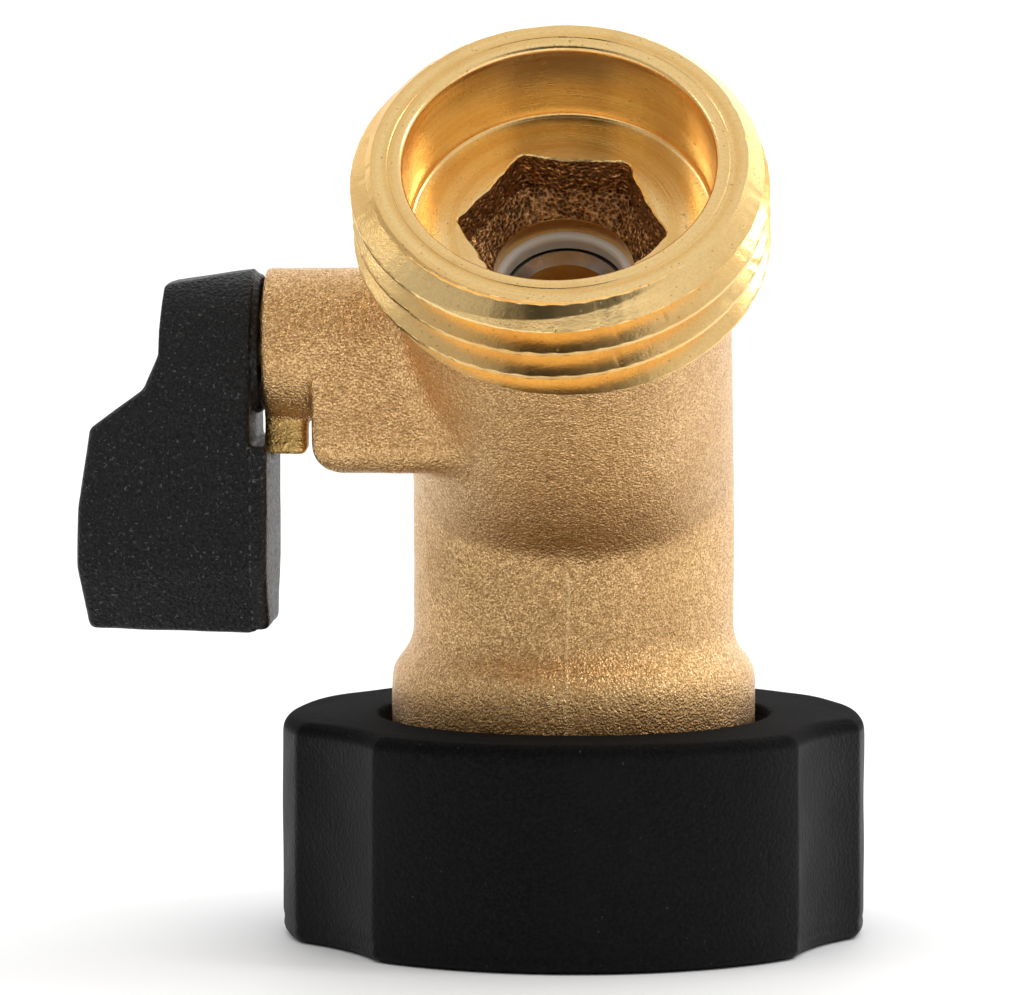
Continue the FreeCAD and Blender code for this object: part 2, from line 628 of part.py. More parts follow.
def grip_outline(radius):
    """Three long lobes with a shallow concave flute between each pair."""
    edges = []
    for i in range(3):
        flute = GRIP_FLUTE_ANGLE - 90 + 120 * i
        start = math.radians(flute - GRIP_FLUTE_HALF)
        end = math.radians(flute + GRIP_FLUTE_HALF)
        following = math.radians(flute + 120 - GRIP_FLUTE_HALF)
        middle = math.radians(flute)
        a = V(radius * math.cos(start), radius * math.sin(start), 0)
        b = V(radius * math.cos(end), radius * math.sin(end), 0)
        c = V(radius * math.cos(following), radius * math.sin(following), 0)
        dip = radius - GRIP_FLUTE_DEPTH
        lobe = (end + following) / 2
        edges.append(Part.Arc(a, V(dip * math.cos(middle), dip * math.sin(middle), 0), b).toShape())
        edges.append(Part.Arc(b, V(radius * math.cos(lobe), radius * math.sin(lobe), 0), c).toShape())
    return Part.Wire(edges)


def make_grip_sleeve():
    sleeve = Part.Face(grip_outline(GRIP_R)).extrude(V(0, 0, GRIP_H))
    sleeve = round_edges(sleeve, edges_where(sleeve, lambda p: p.z > GRIP_H - NEAR), GRIP_TOP_EDGE)
    sleeve = round_edges(sleeve, edges_where(sleeve, lambda p: p.z < NEAR), GRIP_BOTTOM_EDGE)
    room = lathe([(0, -PAST), (NUT_R, -PAST), (NUT_R, GRIP_LIP_Z), (GRIP_HOLE_R, GRIP_LIP_Z),
                  (GRIP_HOLE_R, GRIP_H + PAST), (0, GRIP_H + PAST)])
    return sleeve.cut([room] + nut_keys())


# ---------------------------------------------------------------- files

def make_parts():
    return {
        "valve_body": make_valve_body(),
        "outlet_connector": make_outlet_connector(),
        "connector_o_ring": make_connector_o_ring(),
        "outlet_seat": make_outlet_seat(),
        "inlet_seat": make_inlet_seat(),
        "seat_backing_ring": make_seat_backing_ring(),
        "ball": make_ball(),
        "stem": make_stem(),
        "stem_inner_o_ring": make_stem_inner_o_ring(),
        "stem_outer_o_ring": make_stem_outer_o_ring(),
        "stem_thrust_washer": make_stem_thrust_washer(),
        "stem_gland": make_stem_gland(),
        "lever_handle": make_lever_handle(),
        "handle_screw": make_handle_screw(),
        "swivel_nut": make_swivel_nut(),
        "retaining_ring": make_retaining_ring(),
        "hose_washer": make_hose_washer(),
        "grip_sleeve": make_grip_sleeve(),
    }


os.makedirs("parts", exist_ok=True)
for name, shape in make_parts().items():
    shape.exportStep("parts/" + name + ".step")
    print(name, shape.isValid(), len(shape.Solids), round(shape.Volume, 1))
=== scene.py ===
import json
import math

import bmesh
import bpy
import numpy as np
from mathutils import Matrix, Vector


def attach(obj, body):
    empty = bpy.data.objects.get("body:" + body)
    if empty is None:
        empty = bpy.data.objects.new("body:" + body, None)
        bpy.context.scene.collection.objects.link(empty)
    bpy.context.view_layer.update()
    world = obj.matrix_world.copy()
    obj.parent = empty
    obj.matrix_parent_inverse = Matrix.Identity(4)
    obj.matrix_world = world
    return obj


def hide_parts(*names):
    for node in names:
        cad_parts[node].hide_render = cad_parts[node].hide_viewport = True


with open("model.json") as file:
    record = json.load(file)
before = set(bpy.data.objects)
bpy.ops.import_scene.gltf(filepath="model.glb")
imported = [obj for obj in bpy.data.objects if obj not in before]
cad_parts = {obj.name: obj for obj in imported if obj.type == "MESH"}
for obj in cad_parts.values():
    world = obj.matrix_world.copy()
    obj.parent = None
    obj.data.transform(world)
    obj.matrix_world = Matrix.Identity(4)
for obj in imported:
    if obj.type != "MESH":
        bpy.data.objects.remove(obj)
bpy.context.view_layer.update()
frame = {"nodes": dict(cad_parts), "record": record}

# Everything is in metres. Sizes that part.py settled are repeated here in millimetres times MM.
MM = 0.001

MOUNTS = {mount["name"]: mount for mount in frame["record"]["mounts"]}

# Outlet leg: FACE is the middle of the outlet's end face, AXIS points out of it, UP lies in the face.
FACE = np.array(MOUNTS["outlet_thread"]["pos_m"])
AXIS = np.array(MOUNTS["outlet_thread"]["axis"])
SIDE = np.array([1.0, 0.0, 0.0])
UP = np.cross(AXIS, SIDE)

# The elbow point, where the inlet axis meets the outlet axis.
ELBOW = FACE - AXIS * (FACE[1] / AXIS[1])
STEM = np.array(frame["record"]["behaviour"]["joints"][0]["pos_m"])

# The crease between the two legs lies in the plane through ELBOW with this normal.
CREASE_NORMAL = AXIS + np.array([0.0, 0.0, 1.0])
CREASE_NORMAL /= np.linalg.norm(CREASE_NORMAL)

# How far the outlet leg leans forward from upright.
LEG_TILT = math.atan2(-AXIS[1], AXIS[2])

# Cast body: wall radius, the stretch that keeps its cast skin, the web's bottom, the lug and the seam's top.
CAST_R = 10.85 * MM
CAST_SKIN_BOTTOM = 13.5 * MM
CAST_SKIN_OUT = 23.2 * MM
TURNED_FROM = 23.3 * MM
WEB_BOTTOM = 32.2 * MM
LUG_LOW = (-20.3 * MM, -11.6 * MM, 33.0 * MM)
LUG_HIGH = (-17.1 * MM, -8.0 * MM, 35.6 * MM)
SEAM_TOP = 25 * MM

# Outlet connector, measured from the middle of its end face.
THREAD_PITCH = 25.4 / 11.5 * MM
THREAD_R = 13.49 * MM
THREAD_ROOT_R = 12.12 * MM
THREAD_L = 7.6 * MM
FIRST_CREST = 1.25 * MM
CUP_R = 10.05 * MM
CUP_DEPTH = 6.15 * MM
CUP_TAPER = 0.12 * MM
CUP_CORNER = 0.35 * MM
THROAT_DEPTH = 10.35 * MM
SOCKET_HALF_FLATS = 6.05 * MM
SOCKET_CORNER_R = 6.86 * MM
SOCKET_BOW = 0.28 * MM
SOCKET_DRAFT = 0.18 * MM
SOCKET_DEPTH = 8.9 * MM
SOCKET_TURN = math.radians(-5)
THROAT_R = 4.6 * MM
SEAT_DEPTH = 11.7 * MM

BALL_BORE_R = 3.2 * MM
HUB_INNER_X = -20.65 * MM
HUB_R = 6.6 * MM
GRIP_HEIGHT = 15.0 * MM
GRIP_FLUTE_R = 17.2 * MM
GRIP_BEAD_Z = 1.15 * MM


# ---------------------------------------------------------------- mesh helpers

def piece_from_mesh(name, mesh, body, node):
    """A new piece that stands for a CAD node and rides on its body."""
    piece = bpy.data.objects.new(name, mesh)
    bpy.context.scene.collection.objects.link(piece)
    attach(piece, body)
    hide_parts(node)
    return piece


def lattice_noise(rng, u, v, columns, rows):
    """Smooth noise in -1..1 over u, v in 0..1. It repeats in u, so it closes round an axis."""
    grid = rng.uniform(-1.0, 1.0, (columns, rows + 2))
    x = (u % 1.0) * columns
    y = np.clip(v, 0.0, 1.0) * rows
    x0 = np.floor(x).astype(int)
    y0 = np.floor(y).astype(int)
    fx = x - x0
    fy = y - y0
    fx = fx * fx * (3 - 2 * fx)
    fy = fy * fy * (3 - 2 * fy)
    low = grid[x0 % columns, y0] * (1 - fx) + grid[(x0 + 1) % columns, y0] * fx
    high = grid[x0 % columns, y0 + 1] * (1 - fx) + grid[(x0 + 1) % columns, y0 + 1] * fx
    return low * (1 - fy) + high * fy


def closed_grid(name, points):
    """Mesh of quads from a rows x columns grid of points that closes on itself both ways."""
    rows, columns = points.shape[:2]
    index = np.arange(rows * columns).reshape(rows, columns)
    next_row = np.roll(index, -1, axis=0)
    quads = np.stack([index, np.roll(index, -1, axis=1), np.roll(next_row, -1, axis=1), next_row], axis=-1)
    mesh = bpy.data.meshes.new(name)
    mesh.from_pydata(points.reshape(-1, 3).tolist(), [], quads.reshape(-1, 4).tolist())
    mesh.update()
    return mesh


def finish_mesh(mesh, sharp_degrees):
    """Faces point outwards, and shade smooth except across sharp edges."""
    work = bmesh.new()
    work.from_mesh(mesh)
    bmesh.ops.recalc_face_normals(work, faces=work.faces)
    work.to_mesh(mesh)
    work.free()
    mesh.shade_smooth()
    mesh.set_sharp_from_angle(angle=math.radians(sharp_degrees))


def remeshed(node, voxel):
    """Even, fine copy of a CAD node's mesh."""
    probe = bpy.data.objects.new(node + "_probe", frame["nodes"][node].data.copy())
    bpy.context.scene.collection.objects.link(probe)
    remesh = probe.modifiers.new("remesh", "REMESH")
    remesh.mode = "VOXEL"
    remesh.voxel_size = voxel
    bpy.context.view_layer.update()
    mesh = bpy.data.meshes.new_from_object(probe.evaluated_get(bpy.context.evaluated_depsgraph_get()))
    coarse = probe.data
    bpy.data.objects.remove(probe)
    bpy.data.meshes.remove(coarse)
    return mesh


def dress(mesh, material, sharp_degrees):
    """One material all over, faces outwards, smooth shading."""
    mesh.materials.clear()
    mesh.materials.append(material)
    finish_mesh(mesh, sharp_degrees)


def get_points(mesh):
    flat = np.empty(len(mesh.vertices) * 3)
    mesh.vertices.foreach_get("co", flat)
    return flat.reshape(-1, 3)


def set_points(mesh, points):
    mesh.vertices.foreach_set("co", points.ravel())
    mesh.update()


def relax(mesh, weight, passes):
    """Rounds a mesh: each pass moves a point halfway to its neighbours' middle, times its weight."""
    edges = np.empty(len(mesh.edges) * 2, dtype=int)
    mesh.edges.foreach_get("vertices", edges)
    a, b = edges.reshape(-1, 2).T
    points = get_points(mesh)
    count = np.bincount(a, minlength=len(points)) + np.bincount(b, minlength=len(points))
    step = (0.5 * weight / np.maximum(count, 1))[:, None]
    for _ in range(passes):
        total = np.empty_like(points)
        for k in range(3):
            forth = np.bincount(a, points[b, k], len(points))
            total[:, k] = forth + np.bincount(b, points[a, k], len(points))
        points = points + step * (total - count[:, None] * points)
    set_points(mesh, points)


def push_along_normals(mesh, amount):
    normals = np.empty(len(mesh.vertices) * 3)
    mesh.vertices.foreach_get("normal", normals)
    set_points(mesh, get_points(mesh) + normals.reshape(-1, 3) * amount[:, None])


def wave_noise(rng, points, wavelength, waves=24):
    """Smooth bumps in about -1..1 in space, as a sum of waves in random directions."""
    total = np.zeros(len(points))
    for _ in range(waves):
        direction = rng.normal(size=3)
        direction *= 2 * math.pi / wavelength / np.linalg.norm(direction) * rng.uniform(0.6, 1.5)
        total += np.sin(points @ direction + rng.uniform(0, 2 * math.pi))
    return total / math.sqrt(waves)


def distance_to_line(points, start, direction):
    offset = points - start
    return np.linalg.norm(offset - np.outer(offset @ direction, direction), axis=1)


def along_leg(points):
    """How far points lie out of the elbow point along the outlet leg."""
    return (points - ELBOW) @ AXIS


def bump_curve(distance, width):
    """1 at distance 0, falling to 0 over about the width."""
    return np.exp(-(distance / width) ** 2)


# ---------------------------------------------------------------- node materials

class Nodes:
    """Small wrapper that adds nodes to one node tree and links them."""

    def __init__(self, tree):
        self.tree = tree

    def add(self, kind, inputs=None, **settings):
        node = self.tree.nodes.new(kind)
        for key, value in settings.items():
            setattr(node, key, value)
        for key, value in (inputs or {}).items():
            self.feed(node, key, value)
        return node

    def feed(self, node, key, value):
        if isinstance(value, bpy.types.NodeSocket):
            self.tree.links.new(value, node.inputs[key])
        else:
            node.inputs[key].default_value = value

    def coords(self):
        return self.add("ShaderNodeTexCoord").outputs["Object"]

    def noise(self, vector, scale, detail=2.0, rough=0.5):
        inputs = {"Vector": vector, "Scale": scale, "Detail": detail, "Roughness": rough}
        return self.add("ShaderNodeTexNoise", inputs).outputs["Fac"]

    def cells(self, vector, scale, output="Distance"):
        return self.add("ShaderNodeTexVoronoi", {"Vector": vector, "Scale": scale}).outputs[output]

    def math(self, operation, a, b=0.0, c=0.0):
        node = self.add("ShaderNodeMath", {0: a, 1: b, 2: c}, operation=operation)
        return node.outputs[0]

    def span(self, value, low, high, to_low=0.0, to_high=1.0):
        node = self.add("ShaderNodeMapRange", {"Value": value, "From Min": low, "From Max": high,
                                               "To Min": to_low, "To Max": to_high},
                        interpolation_type="SMOOTHSTEP")
        return node.outputs["Result"]

    def mix(self, factor, a, b):
        node = self.add("ShaderNodeMix", data_type="RGBA")
        self.feed(node, 0, factor)
        self.feed(node, 6, a)
        self.feed(node, 7, b)
        return node.outputs[2]

    def split(self, vector):
        return self.add("ShaderNodeSeparateXYZ", {"Vector": vector}).outputs

    def bump(self, height, distance, strength=1.0, normal=None):
        inputs = {"Height": height, "Distance": distance, "Strength": strength}
        if normal is not None:
            inputs["Normal"] = normal
        return self.add("ShaderNodeBump", inputs).outputs["Normal"]


class Material(Nodes):
    """A material of one Principled BSDF, with constants set on its sockets."""

    def __init__(self, name, **constants):
        self.data = bpy.data.materials.new(name)
        self.data.use_nodes = True
        super().__init__(self.data.node_tree)
        self.shader = self.tree.nodes["Principled BSDF"]
        for key, value in constants.items():
            self.shader.inputs[key.replace("_", " ")].default_value = value

    def leg_coords(self):
        """Object coordinates turned into the outlet leg's own frame, with Z out of the face."""
        node = self.add("ShaderNodeMapping", {"Vector": self.coords(), "Rotation": (-LEG_TILT, 0.0, 0.0)})
        back = Matrix.Rotation(-LEG_TILT, 3, "X") @ Vector(ELBOW)
        node.inputs["Location"].default_value = -back
        return node.outputs["Vector"]

    def use(self, **inputs):
        for key, value in inputs.items():
            self.feed(self.shader, key.replace("_", " "), value)


def colour(red, green, blue):
    return (red, green, blue, 1.0)


def box_mask(m, xyz, low, high, edge):
    """1 inside a box in object space, fading over an edge width."""
    result = 1.0
    for k in range(3):
        inside = m.span(xyz[k], low[k] - edge, low[k] + edge)
        inside = m.math("MULTIPLY", inside, m.span(xyz[k], high[k] - edge, high[k] + edge, 1.0, 0.0))
        result = m.math("MULTIPLY", result, inside)
    return result


def painted_crease_shade_mask(m, xyz):
    """Painted shade: the darker part of the tilted leg's underside, right above the crease in front."""
    forward = m.math("MULTIPLY", xyz[1], float(CREASE_NORMAL[1]))
    upward = m.math("MULTIPLY", m.math("SUBTRACT", xyz[2], float(ELBOW[2])), float(CREASE_NORMAL[2]))
    off_crease = m.math("ADD", forward, upward)
    edge = m.span(off_crease, -0.3 * MM, 0.8 * MM)
    above = m.math("MULTIPLY", edge, m.span(off_crease, 0.8 * MM, 8 * MM, 1.0, 0.0))
    middle = m.span(m.math("ABSOLUTE", xyz[0]), 5 * MM, 14 * MM, 1.0, 0.0)
    front = m.span(xyz[1], -4 * MM, 0.0, 1.0, 0.0)
    return m.math("MULTIPLY", m.math("MULTIPLY", above, middle), front)


def cast_brass_material():
    """Shot-blasted casting: fine peened grain, bright facets, brown pits, a seam line in front, and painted
    shade over the crease and above the grip.
    """
    m = Material("cast_brass", Metallic=1.0)
    at = m.coords()
    xyz = m.split(at)
    facet = m.split(m.cells(at, 9500, "Color"))[0]
    domes = m.cells(at, 5800)
    grit = m.noise(at, 9000, 2.0, 0.6)
    clumps = m.noise(at, 2200, 3.0, 0.6)
    broad = m.noise(at, 150, 4.0, 0.6)
    shade = m.math("ADD", m.math("MULTIPLY", facet, 0.5), m.math("MULTIPLY", grit, 0.4))
    shade = m.math("ADD", shade, m.math("MULTIPLY", clumps, 0.1))
    height = m.math("MULTIPLY", m.math("SUBTRACT", 1.0, domes), 0.7)
    height = m.math("ADD", height, m.math("MULTIPLY", facet, 0.3))
    height = m.math("ADD", height, m.math("MULTIPLY", grit, 0.45))

    base = m.mix(m.span(shade, 0.2, 0.75), colour(0.48, 0.265, 0.10), colour(0.99, 0.645, 0.30))
    pit = m.span(m.noise(at, 6500, 2.0, 0.6), 0.28, 0.38, 1.0, 0.0)
    base = m.mix(m.math("MULTIPLY", pit, 0.8), base, colour(0.24, 0.12, 0.045))
    base = m.mix(m.math("MULTIPLY", m.span(broad, 0.35, 0.7), 0.4), base, colour(0.55, 0.32, 0.13))
    stain = m.math("MULTIPLY", m.span(m.noise(at, 700, 3.0, 0.7), 0.64, 0.74), 0.35)
    base = m.mix(stain, base, colour(0.22, 0.115, 0.05))
    lug = box_mask(m, xyz, LUG_LOW, LUG_HIGH, 0.15 * MM)
    base = m.mix(m.math("MULTIPLY", lug, 0.75), base, colour(0.72, 0.47, 0.15))
    # Painted shade: the leg's underside right above the crease is darkened towards dark brown.
    base = m.mix(m.math("MULTIPLY", painted_crease_shade_mask(m, xyz), 0.5), base, colour(0.30, 0.155, 0.055))
    # Painted shade: the bottom of the flare darkens towards the black grip, standing in for its dark
    # reflection.
    painted_grip_shade = m.span(xyz[2], GRIP_HEIGHT, GRIP_HEIGHT + 2.6 * MM, 1.0, 0.0)
    base = m.mix(m.math("MULTIPLY", painted_grip_shade, 0.6), base, colour(0.24, 0.12, 0.042))
    rough = m.span(shade, 0.25, 0.75, 0.46, 0.24)

    wander = m.math("MULTIPLY", m.math("SUBTRACT", m.noise(at, 420), 0.5), 0.5 * MM)
    off_seam = m.math("ABSOLUTE", m.math("ADD", xyz[0], wander))
    seam = m.span(off_seam, 0.05 * MM, 0.17 * MM, 1.0, 0.0)
    seam = m.math("MULTIPLY", seam, m.span(xyz[2], SEAM_TOP, SEAM_TOP + 1 * MM, 1.0, 0.0))
    broken = m.math("MULTIPLY", seam, m.span(m.noise(at, 900, 2.0), 0.3, 0.55, 0.25, 1.0))
    base = m.mix(m.math("MULTIPLY", broken, 0.45), base, colour(0.90, 0.62, 0.32))

    normal = m.bump(broken, 0.07 * MM, 0.7)
    normal = m.bump(clumps, 0.22 * MM, 0.45, normal)
    normal = m.bump(height, m.math("MULTIPLY_ADD", lug, -0.07 * MM, 0.11 * MM), 0.9, normal)
    m.use(Base_Color=base, Roughness=rough, Normal=normal)
    return m.data


def lathe_marks(m, at, fine, coarse):
    """Concentric tool marks: noise that only varies along the turned profile."""
    x, y, z = m.split(at)
    radius = m.math("SQRT", m.math("ADD", m.math("MULTIPLY", x, x), m.math("MULTIPLY", y, y)))
    along = m.math("ADD", radius, m.math("MULTIPLY", z, 1.37))
    line = m.add("ShaderNodeCombineXYZ", {"X": along, "Y": m.math("MULTIPLY", x, 0.02), "Z": 0.0}).outputs[0]
    return m.noise(line, fine, 2.0, 0.6), m.noise(line, coarse, 3.0, 0.6)


def machined_brass_material(name, leg):
    """Turned brass: bright gold with fine concentric tool marks, faint smudges and small nicks."""
    m = Material(name, Metallic=1.0, Anisotropic=0.45, Anisotropic_Rotation=0.25)
    at = m.leg_coords() if leg else m.coords()
    middle, axis = (ELBOW, AXIS) if leg else ((0.0, 0.0, 0.0), (0.0, 0.0, 1.0))
    spoke = m.add("ShaderNodeVectorMath", {0: m.coords(), 1: tuple(middle)}, operation="SUBTRACT").outputs[0]
    around = m.add("ShaderNodeVectorMath", {0: tuple(axis), 1: spoke}, operation="CROSS_PRODUCT").outputs[0]
    fine, coarse = lathe_marks(m, at, 7000, 1300)
    smudge = m.noise(at, 240, 3.0, 0.6)
    grain = m.noise(at, 5200, 2.0, 0.6)
    nick = m.span(m.noise(at, 2300, 1.5, 0.5), 0.72, 0.77)
    speck = m.span(m.cells(at, 1500), 0.06, 0.13, 1.0, 0.0)
    base = m.mix(m.span(coarse, 0.3, 0.7), colour(0.89, 0.55, 0.19), colour(0.99, 0.71, 0.32))
    base = m.mix(m.math("MULTIPLY", m.span(smudge, 0.5, 0.75), 0.35), base, colour(0.72, 0.40, 0.13))
    base = m.mix(m.math("MULTIPLY", m.math("MAXIMUM", nick, speck), 0.55), base, colour(0.33, 0.18, 0.07))
    base = m.mix(m.math("MULTIPLY", m.span(grain, 0.35, 0.7), 0.16), base, colour(0.50, 0.29, 0.10))
    rough = m.math("ADD", m.span(smudge, 0.3, 0.75, 0.17, 0.25), m.math("MULTIPLY", fine, 0.09))
    normal = m.bump(fine, 0.014 * MM, 0.8)
    normal = m.bump(grain, 0.012 * MM, 0.8, normal)
    normal = m.bump(coarse, 0.02 * MM, 0.3, normal)
    normal = m.bump(nick, -0.02 * MM, 0.5, normal)
    tangent = m.add("ShaderNodeVectorMath", {0: around}, operation="NORMALIZE").outputs[0]
    m.use(Base_Color=base, Roughness=rough, Normal=normal, Tangent=tangent)
    return m.data


def socket_brass_material():
    """Rough as-cast walls of the hex socket: dark brown with bright glints."""
    m = Material("socket_brass", Metallic=1.0)
    at = m.coords()
    grain = m.cells(at, 4000)
    broad = m.noise(at, 1300, 3.0, 0.6)
    height = m.math("ADD", m.math("MULTIPLY", grain, 0.6), m.math("MULTIPLY", broad, 0.6))
    base = m.mix(m.span(height, 0.38, 0.85), colour(0.15, 0.072, 0.028), colour(0.66, 0.38, 0.175))
    rough = m.span(height, 0.4, 0.9, 0.5, 0.30)
    m.use(Base_Color=base, Roughness=rough, Normal=m.bump(height, 0.24 * MM, 0.9))
    return m.data


def black_plastic_material():
    """Moulded handle: spark-eroded pebble grain outside, smoother beyond the parting line."""
    m = Material("black_plastic", Specular_IOR_Level=0.26)
    at = m.coords()
    xyz = m.split(at)
    pebble = m.cells(at, 3600)
    grain = m.noise(at, 6500, 2.0, 0.6)
    outside = m.span(xyz[0], HUB_INNER_X - 0.1 * MM, HUB_INNER_X + 0.1 * MM, 1.0, 0.25)
    height = m.math("MULTIPLY", m.math("ADD", m.math("SUBTRACT", 1.0, pebble), grain), outside)
    speck = m.span(m.noise(at, 4600, 2.0, 0.6), 0.60, 0.76)
    base = m.mix(m.span(grain, 0.42, 0.66), colour(0.0006, 0.0006, 0.0007), colour(0.013, 0.013, 0.0135))
    base = m.mix(m.math("MULTIPLY", speck, 0.8), base, colour(0.13, 0.13, 0.13))
    off_parting = m.math("ABSOLUTE", m.math("SUBTRACT", xyz[0], HUB_INNER_X + 0.05 * MM))
    torn = m.span(off_parting, 0.04 * MM, 0.12 * MM, 1.0, 0.0)
    torn = m.math("MULTIPLY", torn, m.span(m.noise(at, 2600, 2.0), 0.5, 0.62))
    base = m.mix(m.math("MULTIPLY", torn, 0.6), base, colour(0.10, 0.10, 0.10))
    rough = m.span(pebble, 0.1, 0.7, 0.30, 0.48)
    m.use(Base_Color=base, Roughness=rough, Normal=m.bump(height, 0.20 * MM, 1.0))
    return m.data


def rubber_material(name, depth):
    """Matt moulded rubber: fine pebbled skin, vertical mould streaks, a faint bloom and fine dust."""
    m = Material(name, Specular_IOR_Level=0.1)
    at = m.coords()
    skin = m.noise(at, 4200, 3.0, 0.65)
    pebble = m.cells(at, 3000)
    bloom = m.noise(at, 120, 4.0, 0.6)
    upright = m.add("ShaderNodeMapping", {"Vector": at, "Scale": (1.0, 1.0, 0.06)}).outputs[0]
    streak = m.noise(upright, 1100, 3.0, 0.6)
    dust = m.span(m.noise(at, 3600, 1.0), 0.76, 0.81)
    base = m.mix(m.span(skin, 0.3, 0.75), colour(0.0006, 0.0006, 0.0007), colour(0.0060, 0.0060, 0.0063))
    base = m.mix(m.math("MULTIPLY", m.span(bloom, 0.45, 0.8), 0.5), base, colour(0.008, 0.008, 0.0083))
    base = m.mix(m.math("MULTIPLY", dust, 0.22), base, colour(0.16, 0.16, 0.155))
    rough = m.math("ADD", m.span(bloom, 0.3, 0.7, 0.40, 0.52), m.math("MULTIPLY", skin, 0.10))
    rim = m.span(m.split(at)[2], GRIP_HEIGHT - 1.6 * MM, GRIP_HEIGHT - 0.4 * MM)
    rough = m.math("MAXIMUM", rough, m.math("MULTIPLY", rim, 0.95))
    height = m.math("ADD", m.math("MULTIPLY", m.math("SUBTRACT", 1.0, pebble), 0.6), skin)
    normal = m.bump(streak, 0.05 * MM, 0.35)
    m.use(Base_Color=base, Roughness=rough, Normal=m.bump(height, depth, 0.8, normal))
    return m.data


def ptfe_material():
    """Waxy white seat plastic with faint turning rings."""
    m = Material("ptfe", Subsurface_Weight=0.25, Subsurface_Scale=0.4 * MM)
    at = m.leg_coords()
    fine, coarse = lathe_marks(m, at, 6000, 1200)
    base = m.mix(m.span(coarse, 0.3, 0.7), colour(0.78, 0.76, 0.70), colour(0.88, 0.87, 0.83))
    rough = m.span(fine, 0.2, 0.8, 0.32, 0.46)
    m.use(Base_Color=base, Roughness=rough, Normal=m.bump(fine, 0.01 * MM, 0.5))
    return m.data


def metal_material(name, dark, light, low_rough, high_rough, scale, metallic=1.0):
    """Plain metal with fine random scratches and a changing polish."""
    m = Material(name, Metallic=metallic)
    at = m.coords()
    cloud = m.noise(at, scale, 4.0, 0.6)
    drawn = m.add("ShaderNodeMapping", {"Vector": at, "Scale": (1.0, 9.0, 9.0)}).outputs[0]
    scratch = m.noise(drawn, scale * 6)
    m.use(Base_Color=m.mix(m.span(cloud, 0.3, 0.7), dark, light),
          Roughness=m.span(m.math("MULTIPLY", cloud, scratch), 0.1, 0.5, low_rough, high_rough),
          Normal=m.bump(scratch, 0.01 * MM, 0.4))
    return m.data


# ---------------------------------------------------------------- outlet connector

def thread_radius(angle, depth):
    """Radius of the right-hand male thread, with its flat crests and roots and a 45 degree nose."""
    crest = FIRST_CREST + THREAD_PITCH * (0.75 - angle / (2 * math.pi))
    turn = np.abs(((depth - crest) / THREAD_PITCH + 0.5) % 1.0 - 0.5)
    slope = np.clip((turn - 1 / 16) / (0.5 - 1 / 8), 0.0, 1.0)
    return np.minimum(THREAD_R - (THREAD_R - THREAD_ROOT_R) * slope, THREAD_ROOT_R + depth)


def socket_radius(angle):
    """Radius of the hex socket: flats that bow in a little and corners with a small round."""
    sixth = math.pi / 3
    off_middle = (angle - SOCKET_TURN) % sixth - sixth / 2
    straight = SOCKET_HALF_FLATS / np.cos(off_middle)
    bow = SOCKET_BOW * np.cos(off_middle / sixth * math.pi) ** 2
    return np.minimum(straight, SOCKET_CORNER_R) - bow


# Turned steps of the outlet's end face as (radius, depth) in millimetres: outer land, groove line,
# inner land, rounded mouth.
FACE_PROFILE = ((12.06, 0.0), (11.98, 0.015), (11.6, 0.012), (11.25, 0.012), (11.1, 0.012),
                (11.04, 0.05), (10.98, 0.05), (10.92, 0.0), (10.7, 0.0), (10.45, 0.0),
                (10.34, 0.012), (10.22, 0.06), (10.13, 0.14), (10.07, 0.26))

# Section of the inner end in the same way: the pocket that holds the seat, then the back of the shank.
SEAT_POCKET = ((5.5, 11.7), (5.5, 13.6), (7.8, 13.6), (7.8, 12.99), (6.65, 12.99), (6.65, 11.51),
               (7.8, 11.51), (8.3, 11.2))


def same_lattice(seed):
    """Starts the same random lattice again for each row, so that a pattern runs across rows."""
    return np.random.default_rng(seed)


